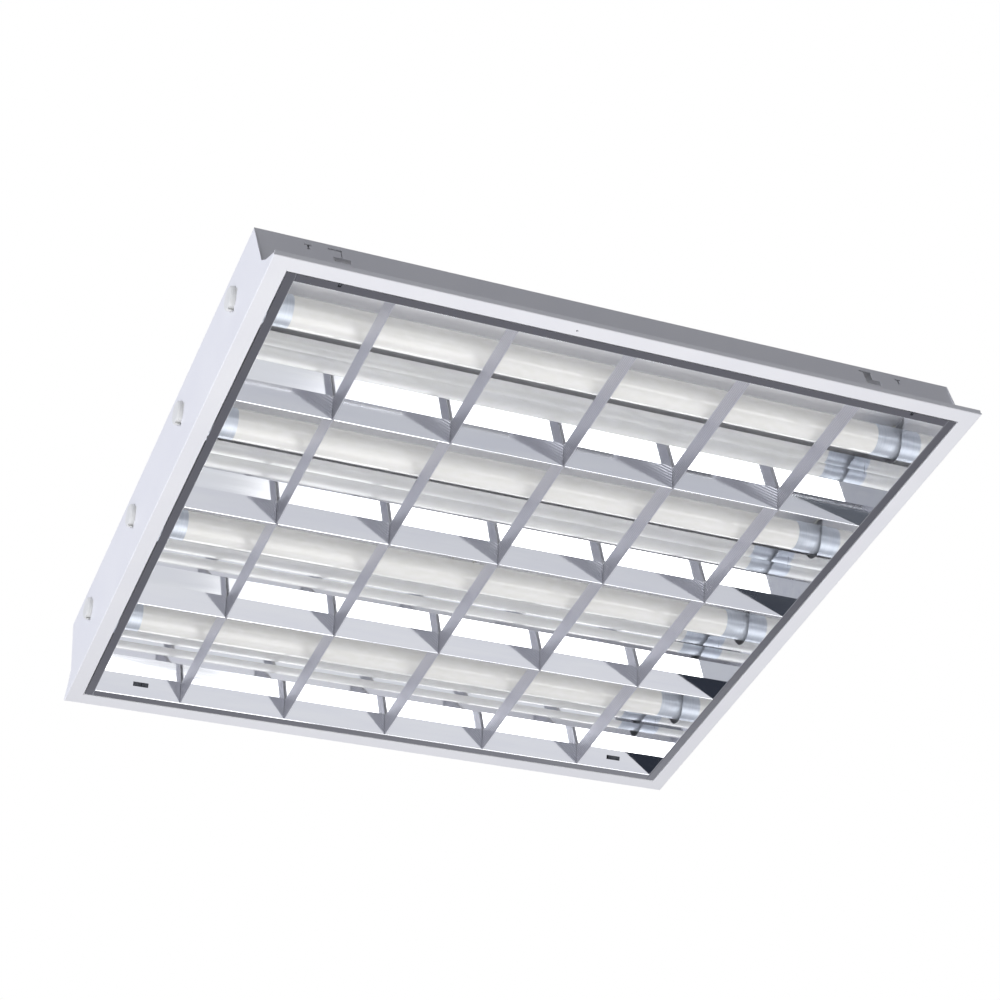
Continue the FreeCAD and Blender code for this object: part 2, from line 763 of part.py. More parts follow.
def end_tabs(solid, row_low, row_high):
    """Trim both ends of a reflector sheet so that only its tabs pass through the end reflectors."""
    trims = []
    for end in (-1, 1):
        x0 = min(end * louvre_half, end * (louvre_half + 5))
        x1 = max(end * louvre_half, end * (louvre_half + 5))
        trims.append(block(x0, x1, row_low, row_high, -2, tab_low))
        trims.append(block(x0, x1, row_low, row_high, tab_high, top_height + 5))
    return solid.cut(trims)


def divider_section(row):
    """Mid line of a divider: both flanks, joined by the fold at the bottom."""
    flank = mirror_profile()
    left = [(row - out, height) for out, height in reversed(flank)]
    right = [(row + out, height) for out, height in flank]
    return left + [(row, 0.0)] + right


def divider(row):
    """A divider: one sheet folded into a mirror-sided V, slotted for the five cross blades."""
    reach = louvre_half + aluminium + tab_reach
    solid = sheet_x(divider_section(row), aluminium, 0.3, -reach, reach)
    solid = end_tabs(solid, row - top_out - 10, row + top_out + 10)
    slots = [prism_y(blade_slot(column, -1.0), row - 12, row + 12) for column in blade_columns]
    return solid.cut(slots)


def side_section():
    """Mid line of the far side reflector, from the outer edge of its rim to the top."""
    rim = [(rim_half, rim_height), (louvre_half, rim_height)]
    return rim + [(louvre_half - out, height) for out, height in mirror_profile()]


def side_reflector():
    """Far side reflector: half a divider with a flat rim, slotted for the blade ends and for the catches."""
    reach = louvre_half + aluminium + tab_reach
    solid = sheet_x(side_section(), aluminium, 0.4, -reach, reach)
    solid = end_tabs(solid, louvre_half - top_out - 10, rim_half + 5)
    cuts = [prism_y(blade_slot(column, 1.3), louvre_half - 10, louvre_half + 2) for column in blade_columns]
    for end in (-1, 1):
        half = catch_slot_length / 2
        low = facet_point(catch_up - catch_slot_height / 2, -2)
        high = facet_point(catch_up + catch_slot_height / 2, -2)
        high_out = facet_point(catch_up + catch_slot_height / 2, 2)
        low_out = facet_point(catch_up - catch_slot_height / 2, 2)
        cuts.append(prism_x([low, high, high_out, low_out], end * catch_column - half, end * catch_column + half))
    return solid.cut(cuts)


def near_reflector():
    """Near side reflector: the far one turned round, with a notch in its rim at each hinge lug."""
    solid = mirror_y(side_reflector())
    half = lug_width / 2 + 0.5
    inner = -(hinge_row - lug_radius) + 0.4
    notches = []
    for end in (-1, 1):
        notches.append(block(end * hinge_column - half, end * hinge_column + half, -rim_half - 1, inner, -1, 3))
    return solid.cut(notches)


def end_reflector_outline():
    """Outline of an end reflector above its rim: it stays clear of the body walls while the louvre swings."""
    side = [(louvre_half, 0.5), (louvre_half - crease_out + 1.4, crease_height + 0.5),
            (louvre_half - edge_out + 3.7, edge_height + 1.0), (louvre_half - belly_out + 5.0, belly_height),
            (louvre_half - belly_out + 5.0, top_height)]
    return side + [(-y, z) for y, z in reversed(side)]


def mouth_half(row):
    """Half the width of a lamp slot at the top on its hinge side, so that the swinging louvre clears the lamp."""
    reach = row + hinge_row
    near = math.hypot(reach, lamp_height - hinge_height) - lamp_radius - swing_gap
    rise = top_height - hinge_height
    return max(slot_mouth, reach - math.sqrt(near * near - rise * rise))


def lamp_slot(row):
    """Slot round a lamp, open at the top: a round bottom, then flanks that lean out to the waist and the mouth.
    The sides match the other end of the row of slots, so one pressing does for both ends of the louvre."""
    centre = lamp_height - lamp_radius - slot_below + slot_round
    waist = lamp_height - 1.0
    touch = math.atan2(waist - centre, slot_waist) - math.acos(slot_round / math.hypot(slot_waist, waist - centre))
    touch_out = slot_round * math.cos(touch)
    touch_height = centre + slot_round * math.sin(touch)
    left = [(row - touch_out, touch_height), (row - slot_waist, waist), (row - mouth_half(row), top_height),
            (row - mouth_half(row), top_height + 1)]
    right = [(row + mouth_half(-row), top_height + 1), (row + mouth_half(-row), top_height),
             (row + slot_waist, waist), (row + touch_out, touch_height)]
    low = Part.makeCylinder(slot_round, 8, V(louvre_half - 4, row, centre), V(1, 0, 0))
    return low.fuse(prism_x(left + right, louvre_half - 4, louvre_half + 4))


def end_reflector():
    """Right end reflector: a rim and an upright mirror with a slot for each lamp and for each sheet's tab."""
    plate = louvre_half + aluminium / 2
    section = [(rim_half, rim_height), (plate, rim_height), (plate, top_height)]
    solid = sheet_y(section, aluminium, 0.3, -rim_half, rim_half)
    keep = prism_x(end_reflector_outline(), louvre_half - 2, louvre_half + aluminium + 0.8)
    rim = block(louvre_half - 1, rim_half + 1, -rim_half, rim_half, 0, 1.5)
    solid = solid.common(keep.fuse(rim))
    cuts = [lamp_slot(row) for row in lamp_rows]
    window = block(louvre_half - 2, louvre_half + 3, -rim_half, rim_half, tab_low - tab_clearance,
                   tab_high + tab_clearance)
    sections = [divider_section(row) for row in divider_rows]
    sections.append(side_section())
    sections.append([(-y, z) for y, z in side_section()])
    for section in sections:
        slot = sheet_x(section, aluminium + 2 * tab_clearance, 0.5, louvre_half - 2, louvre_half + 3)
        cuts.append(slot.common(window))
    corner = aluminium
    for side in (-1, 1):
        y0 = min(side * (louvre_half - 0.8), side * (rim_half + 1))
        y1 = max(side * (louvre_half - 0.8), side * (rim_half + 1))
        cuts.append(block(louvre_half - 1, louvre_half, y0, y1, -1, 3))
        y0 = min(side * (louvre_half - 1.5), side * (rim_half + 1))
        y1 = max(side * (louvre_half - 1.5), side * (rim_half + 1))
        cuts.append(block(louvre_half - 1, louvre_half + corner + 0.3, y0, y1, rim_height + aluminium / 2, 4))
    return solid.cut(cuts)


def blade_leg():
    """Mid line of one leg of a blade from fold to top edge, stepped into fine ribs, as (half width, height)."""
    points = []
    low = 1.4
    steps = 2 * rib_count
    for number in range(steps + 1):
        share = number / steps
        height = low + (blade_top - 0.1 - low) * share
        lean = blade_fold + (blade_half_width - blade_fold) * share
        points.append((lean + rib_depth * (1 if number % 2 else -1), height))
    return points


def cross_blade(column):
    """A cross blade: thin ribbed sheet folded into a narrow V, its ends seated in the side reflectors."""
    leg = blade_leg()
    left = [(column - half, height) for half, height in reversed(leg)]
    right = [(column + half, height) for half, height in leg]
    fold = [(column - 0.25, 0.75), (column + 0.25, 0.75)]
    solid = sheet_y(left + fold + right, blade_sheet, 0.02, -louvre_half - 2, louvre_half + 2)
    inside = louvre_half - 0.8
    low = 1.7
    beyond = 1.2
    lean = crease_out / crease_height
    low_out = louvre_half - lean * low + beyond
    top_out_at = louvre_half - lean * (blade_top + 0.5) + beyond
    half = [(inside, 0), (inside, low), (low_out, low), (top_out_at, blade_top + 0.5)]
    return solid.common(prism_x(half + [(-y, z) for y, z in reversed(half)], column - 4, column + 4))


def hinge_bracket():
    """Right hinge bracket of the louvre: a base on the rim and two cheeks that hold the hinge wire."""
    base_low = rim_height + aluminium / 2
    outer = rim_half - 0.1
    base = block(-12, 12, hinge_row - lug_radius - 3.9, hinge_row - lug_radius - 0.3, base_low, base_low + 0.8)
    pieces = [base]
    for side in (-1, 1):
        x0 = side * (cheek_gap / 2)
        x1 = side * (cheek_gap / 2 + cheek_width)
        inner = hinge_row - lug_radius - 3.45
        top = hinge_height + hinge_wire_radius + 0.95
        cheek = [(outer, base_low), (outer, hinge_height + 0.8), (outer - 1.6, top), (inner, top), (inner, base_low)]
        pieces.append(prism_x(cheek, min(x0, x1), max(x0, x1)))
    reach = cheek_gap + 2 * cheek_width
    bore = Part.makeCylinder(hinge_wire_radius, reach, V(-reach / 2, hinge_row, hinge_height), V(1, 0, 0))
    bracket = mirror_y(joined(pieces).cut(bore))
    bracket.translate(V(hinge_column, 0, 0))
    return bracket


def hinge_wires():
    """The two short wires that the louvre turns on, pressed into the cheeks."""
    reach = cheek_gap + 2 * cheek_width
    wires = []
    for end in (-1, 1):
        start = V(end * hinge_column - reach / 2, -hinge_row, hinge_height)
        wires.append(Part.makeCylinder(hinge_wire_radius, reach, start, V(1, 0, 0)))
    return group(wires)


def facet_point(distance, depth):
    """A point so far up the lower mirror facet of the far side and so deep behind its mid line, as (y, z)."""
    foot = V(0, louvre_half, rim_height)
    run = (V(0, louvre_half - crease_out, crease_height) - foot).normalize()
    behind = V(0, run.z, -run.y)
    spot = foot + run * distance + behind * depth
    return (spot.y, spot.z)


def catch_strip_low():
    """Distance up the facet to the lower edge of the catch's strip."""
    return catch_up - 5.2


def catch_strip_high():
    """Distance up the facet to the upper edge of the catch's strip."""
    return catch_up + 3.8


def catch_slider():
    """Right sliding catch: a flat strip behind the mirror, a finger tab through the slot and a nose on the keeper."""
    gap = 0.15
    near = aluminium / 2 + gap
    depth = near + catch_sheet / 2
    half = catch_slot_length / 2
    edges = [facet_point(catch_strip_low(), depth), facet_point(catch_strip_high(), depth)]
    strip = sheet_x(edges, catch_sheet, 0.1, -half - 12, half + 8)
    low = catch_up - catch_slot_height / 2 + 0.6
    high = catch_up + catch_slot_height / 2 - 0.6
    tab_start = catch_play - half
    tab = prism_x([facet_point(low, -1.6), facet_point(high, -1.6), facet_point(high, depth), facet_point(low, depth)],
                  tab_start, tab_start + catch_tab_width)
    nose_top = nose_level + 1.0
    inner = facet_point(catch_strip_low() + 1.4, depth)[0]
    nose = prism_x([(inner, nose_level), (nose_tip, nose_level), (nose_tip - 0.3, nose_top), (inner, nose_top)],
                   -catch_nose_width / 2, catch_nose_width / 2)
    slider = joined([strip, tab, nose])
    slider.translate(V(catch_column, 0, 0))
    return slider


def catch_guides():
    """Clips behind the far reflector that hold the sliding catches, two to each."""
    foot = aluminium / 2 + 0.2
    over = aluminium / 2 + 0.15 + catch_sheet + 0.25 + 0.2
    low = catch_strip_low()
    high = catch_strip_high()
    section = [facet_point(low - clip_foot - 0.6, foot), facet_point(low - 0.8, foot), facet_point(low - 0.55, over),
               facet_point(high + 0.55, over), facet_point(high + 0.8, foot),
               facet_point(high + clip_foot + 0.8, foot)]
    clips = []
    half = (catch_slot_length + clip_width) / 2 + clip_gap
    for end in (-1, 1):
        for middle in (catch_column - half, catch_column + half + clip_width + 0.5):
            clips.append(sheet_x(section, 0.4, 0.05, end * middle - clip_width / 2, end * middle + clip_width / 2))
    return group(clips)


# ---------------------------------------------------------------- lamps

def lamp_tube(row):
    """Glass tube, closed at both ends, a little narrower where the caps sit on it."""
    wall = 0.8
    neck = lamp_radius - cap_wall
    end = cap_face - 4.9
    outline = [(-end, 0), (-end, neck), (-glass_half, neck), (-glass_half, lamp_radius),
               (glass_half, lamp_radius), (glass_half, neck), (end, neck), (end, 0)]
    outer = flat([V(x, row + radius, lamp_height) for x, radius in outline])
    outer = outer.revolve(V(0, row, lamp_height), V(1, 0, 0), 360)
    inner = Part.makeCylinder(neck - wall, 2 * (end - wall), V(-end + wall, row, lamp_height), V(1, 0, 0))
    return outer.cut(inner)


def lamp_caps(row):
    """The pair of metal caps: long sleeves over the ends of the glass, each with two holes for its pins."""
    caps = []
    for end in (-1, 1):
        mouth = glass_half + 0.05
        neck = lamp_radius - cap_wall + 0.03
        sleeve = Part.makeCylinder(lamp_radius + 0.15, cap_face - mouth, V(mouth, row, lamp_height), V(1, 0, 0))
        hollow = Part.makeCylinder(neck, cap_face - mouth - 1.0, V(mouth, row, lamp_height), V(1, 0, 0))
        cap = sleeve.cut(hollow)
        cap = cap.makeFillet(0.8, [edge for edge in cap.Edges if abs(edge.CenterOfMass.x - cap_face) < 0.01])
        holes = []
        for side in (-1, 1):
            holes.append(Part.makeCylinder(pin_radius, 4, V(cap_face - 3, row + side * pin_spacing / 2, lamp_height),
                                           V(1, 0, 0)))
        cap = cap.cut(holes)
        caps.append(cap if end > 0 else mirror_x(cap))
    return group(caps)


def lamp_pins(row):
    """Two contact pins at each end of a lamp."""
    pins = []
    for end in (-1, 1):
        for side in (-1, 1):
            start = V(end * (cap_face - 1), row + side * pin_spacing / 2, lamp_height)
            pins.append(Part.makeCylinder(pin_radius, pin_length + 1, start, V(end, 0, 0)))
    return group(pins)


def lamp_rotors(row):
    """The rotors of both lampholders, which turn with the lamp."""
    right = rotor(row)
    return group([right, mirror_x(right)])


# ---------------------------------------------------------------- all pieces

save("housing_tray", housing_tray())
right_plate = end_plate()
save("end_plate_right", right_plate)
save("end_plate_left", mirror_x(right_plate))
save("end_rivets", end_rivets())
save("bracket_rivets", bracket_rivets())
save("ballast_left", ballast(-ballast_column))
save("ballast_right", ballast(ballast_column))
save("ballast_connectors", ballast_connectors())
save("terminal_block", terminal_block())
save("body_screws", body_screws())
save("cable_grommet", cable_grommet())
save("earth_stud", earth_stud())
save("internal_wires", internal_wires())

right_lug = hinge_lug()
save("hinge_lug_right", right_lug)
save("hinge_lug_left", mirror_x(right_lug))
right_keeper = catch_keeper()
save("catch_keeper_right", right_keeper)
save("catch_keeper_left", mirror_x(right_keeper))

save("side_reflector_far", side_reflector())
save("side_reflector_near", near_reflector())
right_mirror = end_reflector()
save("end_reflector_right", right_mirror)
save("end_reflector_left", mirror_x(right_mirror))
for name, row in zip(("near", "middle", "far"), divider_rows):
    save("divider_" + name, divider(row))
for number, column in enumerate(blade_columns, 1):
    save("cross_blade_" + str(number), cross_blade(column))
right_bracket = hinge_bracket()
save("hinge_bracket_right", right_bracket)
save("hinge_bracket_left", mirror_x(right_bracket))
save("hinge_wires", hinge_wires())
save("catch_guides", catch_guides())
right_catch = catch_slider()
save("catch_slider_right", right_catch)
save("catch_slider_left", mirror_x(right_catch))

for number, row in enumerate(lamp_rows, 1):
    name = "lamp_" + str(number)
    holder = lampholder(row)
    save("lampholder_" + str(number) + "_right", holder)
    save("lampholder_" + str(number) + "_left", mirror_x(holder))
    save(name + "_tube", lamp_tube(row))
    save(name + "_caps", lamp_caps(row))
    save(name + "_pins", lamp_pins(row))
    save(name + "_rotors", lamp_rotors(row))
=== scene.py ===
import bpy
import numpy as np
from mathutils import Matrix

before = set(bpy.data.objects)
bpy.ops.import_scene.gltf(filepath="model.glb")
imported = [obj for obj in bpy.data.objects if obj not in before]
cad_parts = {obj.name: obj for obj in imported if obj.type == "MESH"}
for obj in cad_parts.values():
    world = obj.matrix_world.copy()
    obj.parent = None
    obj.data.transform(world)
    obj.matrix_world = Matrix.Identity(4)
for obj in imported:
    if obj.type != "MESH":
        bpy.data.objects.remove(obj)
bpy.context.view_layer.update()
scene = bpy.context.scene

# ---------------------------------------------------------------- viewpoint
# The light is seen from below, from beyond its left corner on the hinge side, through a long lens.
# The camera's place, in metres, and its three directions are in the light's own frame.
eye = (-0.689988, -1.405736, -1.154427)
to_right = (0.919296, -0.384890, -0.082189)
to_top = (-0.179099, -0.595072, 0.783462)
ahead = (0.350455, 0.705513, 0.615981)
camera = bpy.data.objects.new("viewpoint", bpy.data.cameras.new("viewpoint"))
scene.collection.objects.link(camera)
camera.matrix_world = Matrix((
    (to_right[0], to_top[0], -ahead[0], eye[0]),
    (to_right[1], to_top[1], -ahead[1], eye[1]),
    (to_right[2], to_top[2], -ahead[2], eye[2]),
    (0, 0, 0, 1),
))
camera.data.sensor_width = 36
camera.data.lens = 82.595
camera.data.clip_end = 50
scene.camera = camera


# ---------------------------------------------------------------- studio
# A plain white studio with soft light from below, from above and from the left. The mirrors show
# its uneven room: pale below, with a dark doorway low on the left and a grey far side.
def rgb(text):
    """Linear red, green, blue and alpha of a hex colour, each channel through the sRGB curve."""
    parts = np.array([int(text[i:i + 2], 16) for i in (0, 2, 4)]) / 255
    linear = np.where(parts <= 0.04045, parts / 12.92, ((parts + 0.055) / 1.055) ** 2.4)
    return (*linear.tolist(), 1.0)


def add_node(tree, kind, links=None, **settings):
    """A node with its settings; links join its inputs to other nodes' outputs, or set them."""
    node = tree.nodes.new(kind)
    for name, value in settings.items():
        setattr(node, name, value)
    for name, value in (links or {}).items():
        if hasattr(value, "is_linked"):
            tree.links.new(value, node.inputs[name])
        else:
            node.inputs[name].default_value = value
    return node


# A Mix node has sockets of the same names for numbers, vectors and colours. These are the places
# of its share and its two colours among the inputs, and of the mixed colour among the outputs.
mix_share, mix_first, mix_second, mix_result = 0, 6, 7, 2

scene.view_settings.view_transform = "Standard"
world = bpy.data.worlds.new("studio")
world.use_nodes = True
scene.world = world
tree = world.node_tree
tree.nodes.clear()
direction = add_node(tree, "ShaderNodeTexCoord").outputs["Generated"]
toward = add_node(tree, "ShaderNodeSeparateXYZ", {"Vector": direction}).outputs


def room_colours(*stops):
    """Colours by the height of a direction, each stop its Z from -1 to 1 and its hex colour. The
    ramp itself runs from 0 to 1, so a stop stands at (Z + 1) / 2."""
    height = add_node(tree, "ShaderNodeMapRange",
                      {"Value": toward["Z"], "From Min": -1.0, "From Max": 1.0})
    ramp = add_node(tree, "ShaderNodeValToRGB", {"Fac": height.outputs["Result"]})
    points = ramp.color_ramp.elements
    points[0].position, points[1].position = (stops[0][0] + 1) / 2, (stops[-1][0] + 1) / 2
    points[0].color, points[1].color = rgb(stops[0][1]), rgb(stops[-1][1])
    for place, colour in stops[1:-1]:
        points.new((place + 1) / 2).color = rgb(colour)
    return ramp.outputs["Color"]


# The room that the mirrors show: the near half on the viewpoint's side, the doorway in its left
# part, and the far half beyond the light, each fading softly into the next.
near_room = room_colours((-0.84, "d6d7dc"), (-0.5, "d4d6dc"), (-0.2, "dcdde3"), (-0.1, "bec0c8"),
                         (0.02, "6c6e76"))
doorway = room_colours((-0.9, "d8d9de"), (-0.62, "bcbec6"), (-0.48, "8a8c94"), (-0.3, "2a2e38"),
                       (-0.16, "2e323c"), (-0.06, "74787f"))
far_room = room_colours((-0.84, "d8d8de"), (-0.76, "66666d"), (-0.57, "66666d"),
                        (-0.44, "a8a9af"), (0.1, "a8a9af"))
in_doorway = add_node(tree, "ShaderNodeMapRange",
                      {"Value": toward["X"], "From Min": -0.15, "From Max": -0.35})
in_far_half = add_node(tree, "ShaderNodeMapRange",
                       {"Value": toward["Y"], "From Min": -0.05, "From Max": 0.2})
near_half = add_node(tree, "ShaderNodeMix", {
    mix_share: in_doorway.outputs["Result"], mix_first: near_room, mix_second: doorway,
}, data_type="RGBA")
whole_room = add_node(tree, "ShaderNodeMix", {
    mix_share: in_far_half.outputs["Result"], mix_first: near_half.outputs[mix_result],
    mix_second: far_room,
}, data_type="RGBA")

# The softbox, low behind the viewpoint: the white streak on the lamps and the white facets. Its
# soft rim is given as cosines of the angle from its middle, 11 degrees outside and 4 inside.
softbox_aim = (0.417, -0.642, -0.643)
softbox_rim = (0.982, 0.997)
softbox_strength = 3.6
near_softbox = add_node(tree, "ShaderNodeVectorMath", {0: direction, 1: softbox_aim},
                        operation="DOT_PRODUCT")
softbox = add_node(tree, "ShaderNodeMapRange", {
    "Value": near_softbox.outputs["Value"],
    "From Min": softbox_rim[0], "From Max": softbox_rim[1], "To Max": softbox_strength,
})
mirrored = add_node(tree, "ShaderNodeVectorMath", {
    0: whole_room.outputs[mix_result], 1: softbox.outputs["Result"],
}, operation="ADD")

# The light that the room gives matt surfaces: bright from the left and from the far side, grey
# from the floor, little from the viewpoint's side, and some again from straight above.
room_light = room_colours((-0.8, "b4b4b6"), (-0.2, "5a5c62"), (0.1, "26272a"), (0.6, "26272a"),
                          (0.92, "b8b8b8"))
from_left = add_node(tree, "ShaderNodeMapRange",
                     {"Value": toward["X"], "From Min": -0.2, "From Max": -0.8})
from_far_side = add_node(tree, "ShaderNodeMapRange",
                         {"Value": toward["Y"], "From Min": 0.45, "From Max": 0.9})
bright_sides = add_node(tree, "ShaderNodeMath", {
    0: from_left.outputs["Result"], 1: from_far_side.outputs["Result"],
}, operation="MAXIMUM")
all_light = add_node(tree, "ShaderNodeMix", {
    mix_share: bright_sides.outputs[0], mix_first: room_light, mix_second: rgb("f2f4ff"),
}, data_type="RGBA")

# Mirrors and glass show the room, matt surfaces take its light, and the camera sees white paper.
ray = add_node(tree, "ShaderNodeLightPath").outputs
shiny = add_node(tree, "ShaderNodeMath", {
    0: ray["Is Glossy Ray"], 1: ray["Is Transmission Ray"],
}, operation="MAXIMUM")
by_surface = add_node(tree, "ShaderNodeMix", {
    mix_share: shiny.outputs[0], mix_first: all_light.outputs[mix_result],
    mix_second: mirrored.outputs[0],
}, data_type="RGBA")
seen = add_node(tree, "ShaderNodeMix", {
    mix_share: ray["Is Camera Ray"], mix_first: by_surface.outputs[mix_result],
    mix_second: rgb("ffffff"),
}, data_type="RGBA")
background = add_node(tree, "ShaderNodeBackground",
                      {"Color": seen.outputs[mix_result], "Strength": 1.0})
add_node(tree, "ShaderNodeOutputWorld", {"Surface": background.outputs[0]})


def soft_light(name, place, aim, size, watts, colour):
    """A square area light, its size in metres, that the camera doesn't see. It shines along its own
    -Z: that axis runs from the place to the aim, and the other two are square to it."""
    data = bpy.data.lights.new(name, "AREA")
    data.size = size
    data.energy = watts
    data.color = rgb(colour)[:3]
    light = bpy.data.objects.new(name, data)
    scene.collection.objects.link(light)
    back = np.array(place, float) - np.array(aim, float)
    back /= np.linalg.norm(back)
    nearly_upright = abs(back[2]) > 0.9
    side = np.cross((0, 1, 0) if nearly_upright else (0, 0, 1), back)
    side /= np.linalg.norm(side)
    axes = np.stack([side, np.cross(back, side), back], 1).tolist()
    rows = [[*row, at] for row, at in zip(axes, place)]
    light.matrix_world = Matrix(rows + [[0, 0, 0, 1]])
    light.visible_camera = False
    return light


# Only the light from below shows in the mirrors, which carry it up onto the tubes.
soft_light("light_from_below", place=(-0.15, -0.3, -1.2), aim=(0, 0, 0), size=1.0, watts=8,
           colour="ffffff")
above = soft_light("light_from_above", place=(0.3, 0.45, 1.6), aim=(0, 0, 0), size=1.2, watts=9,
                   colour="ffffff")
left = soft_light("light_from_left", place=(-2.2, 0.1, 0.3), aim=(-0.3, 0, 0.03), size=1.2,
                  watts=10.4, colour="f6f9ff")
above.visible_glossy = False
left.visible_glossy = False


# ---------------------------------------------------------------- body
# The body stays in the ceiling: a tray with roof, long walls and flanges, and an end plate at each
# end. They are punched and folded from 0.7 mm steel sheet, riveted, and stove enamelled white.
def new_material(name):
    """An empty material with its shader and output, ready for a finish."""
    material = bpy.data.materials.new(name)
    material.use_nodes = True
    material.node_tree.nodes.clear()
    shader = add_node(material.node_tree, "ShaderNodeBsdfPrincipled")
    add_node(material.node_tree, "ShaderNodeOutputMaterial", {"Surface": shader.outputs[0]})
    return material, material.node_tree, shader


def grain(tree, along, across):
    """Noise with cells of a real size in mm, along the piece's X axis and across it: a place in
    metres times 1000 and divided by the cell's size."""
    place = add_node(tree, "ShaderNodeTexCoord").outputs["Object"]
    cells = add_node(tree, "ShaderNodeMapping", {
        "Vector": place, "Scale": (1000 / along, 1000 / across, 1000 / across),
    })
    noise = add_node(tree, "ShaderNodeTexNoise",
                     {"Vector": cells.outputs[0], "Scale": 1.0, "Detail": 2.0})
    return noise.outputs[0]


def two_tone(tree, shader, pattern, first, second):
    """Base colour between two hex colours, mixed by a noise, which seldom leaves 0.35 to 0.65."""
    tone = add_node(tree, "ShaderNodeMapRange",
                    {"Value": pattern, "From Min": 0.35, "From Max": 0.65})
    mix = add_node(tree, "ShaderNodeMix", {
        mix_share: tone.outputs["Result"], mix_first: rgb(first), mix_second: rgb(second),
    }, data_type="RGBA")
    tree.links.new(mix.outputs[mix_result], shader.inputs["Base Color"])


def uneven_gloss(tree, shader, pattern, smooth, rough, relief):
    """Roughness that runs from smooth to rough as a noise runs from 0.3 to 0.7, and that noise as
    a relief of a depth in mm."""
    gloss = add_node(tree, "ShaderNodeMapRange", {
        "Value": pattern, "From Min": 0.3, "From Max": 0.7, "To Min": smooth, "To Max": rough,
    })
    tree.links.new(gloss.outputs["Result"], shader.inputs["Roughness"])
    bump = add_node(tree, "ShaderNodeBump",
                    {"Height": pattern, "Distance": relief / 1000, "Strength": 1.0})
    tree.links.new(bump.outputs["Normal"], shader.inputs["Normal"])


def finish_nodes(material, *names):
    """Gives CAD nodes their finish."""
    for name in names:
        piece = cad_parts[name]
        piece.data.materials.clear()
        piece.data.materials.append(material)


# Stove enamel, sprayed and baked: to the eye a clean satin white with wide soft highlights, an
# orange peel of about 2 mm, and a tone that drifts a little over 60 mm.
enamel, tree, shader = new_material("stove_enamelled_steel")
two_tone(tree, shader, grain(tree, along=60, across=60), "f1f1f3", "eeeef1")
uneven_gloss(tree, shader, grain(tree, along=2, across=2), smooth=0.34, rough=0.42, relief=0.004)
finish_nodes(enamel, "housing_tray", "end_plate_left", "end_plate_right")

# ---------------------------------------------------------------- fasteners and keepers
# The rivets of end plates, lugs and keepers, the screws of ballasts and terminal block, the earth
# stud under the roof, and the two keepers on the far shoulder that hold the catches: turned or
# pressed from steel and zinc plated.

# Zinc plating: bright bluish grey metal with a cloudy tone in patches of about 4 mm. Its fine haze
# is drawn at 0.8 mm, coarser than real, so that it shows.
zinc, tree, shader = new_material("zinc_plated_steel")
shader.inputs["Metallic"].default_value = 1.0
two_tone(tree, shader, grain(tree, along=4, across=4), "c2c5c9", "adb1b7")
uneven_gloss(tree, shader, grain(tree, along=0.8, across=0.8), smooth=0.28, rough=0.42,
             relief=0.003)
finish_nodes(zinc, "end_rivets", "bracket_rivets", "body_screws", "earth_stud",
             "catch_keeper_left", "catch_keeper_right")

# ---------------------------------------------------------------- hinge and catches
# Two lugs riveted to the near shoulder carry the hinge wires, which are pressed into two brackets
# on the louvre's rim. At its far side two catches slide in guides behind the mirror. All of them
# are stamped or bent from spring steel.

# Spring steel: a dull dark grey that is painted shade, so that these parts sit dark in the rim and
# in the slots. Its grain is far finer than the 0.6 mm drawn here, which is what shows.
shaded_spring_steel, tree, shader = new_material("spring_steel_painted_shade")
shader.inputs["Metallic"].default_value = 1.0
# The dull dark grey of these tones is painted shade.
two_tone(tree, shader, grain(tree, along=2, across=2), "5c5e63", "4c4e53")
uneven_gloss(tree, shader, grain(tree, along=0.6, across=0.6), smooth=0.45, rough=0.6,
             relief=0.003)
finish_nodes(shaded_spring_steel, "hinge_lug_left", "hinge_lug_right", "hinge_bracket_left",
             "hinge_bracket_right", "hinge_wires", "catch_guides", "catch_slider_left",
             "catch_slider_right")

# ---------------------------------------------------------------- ballasts
# Two electronic ballasts in long cans, folded from thin coated steel, with a foot at each end that
# is screwed to the roof above the middle divider.

# Coated ballast steel: paint rolled on before folding, a paler grey and duller than the enamel,
# with a peel of about 1.5 mm.
can, tree, shader = new_material("coated_ballast_steel")
two_tone(tree, shader, grain(tree, along=40, across=40), "e1e2e4", "dcdde0")
uneven_gloss(tree, shader, grain(tree, along=1.5, across=1.5), smooth=0.40, rough=0.50,
             relief=0.004)
finish_nodes(can, "ballast_left", "ballast_right")

# ---------------------------------------------------------------- wiring
# Connector blocks let into the ballasts, the mains terminal block, the loom of sleeved wires along
# the roof and over the lampholders, and the grommet snapped into the roof where the cable enters.

# White polycarbonate: moulded, a slightly warm white with the soft gloss of an etched mould, whose
# texture is drawn at 0.6 mm, coarser than real, so that it shows.
moulding, tree, shader = new_material("white_polycarbonate")
two_tone(tree, shader, grain(tree, along=15, across=15), "ebebe8", "e6e6e2")
uneven_gloss(tree, shader, grain(tree, along=0.6, across=0.6), smooth=0.36, rough=0.46,
             relief=0.005)
finish_nodes(moulding, "ballast_connectors", "terminal_block")

# Black rubber: moulded, matt and nearly black, with a faint grey bloom in specks of about 2 mm.
rubber, tree, shader = new_material("black_rubber")
two_tone(tree, shader, grain(tree, along=2, across=2), "1c1c1c", "262626")
uneven_gloss(tree, shader, grain(tree, along=0.5, across=0.5), smooth=0.62, rough=0.78,
             relief=0.01)
finish_nodes(rubber, "cable_grommet")

# PVC sleeve: extruded over the wires, a creamy white with a dull gloss and a skin that is uneven
# over about 1 mm.
sleeve, tree, shader = new_material("pvc_wire_sleeve")
two_tone(tree, shader, grain(tree, along=8, across=8), "e6e6de", "dfdfd6")
uneven_gloss(tree, shader, grain(tree, along=1, across=1), smooth=0.44, rough=0.56, relief=0.005)
finish_nodes(sleeve, "internal_wires")

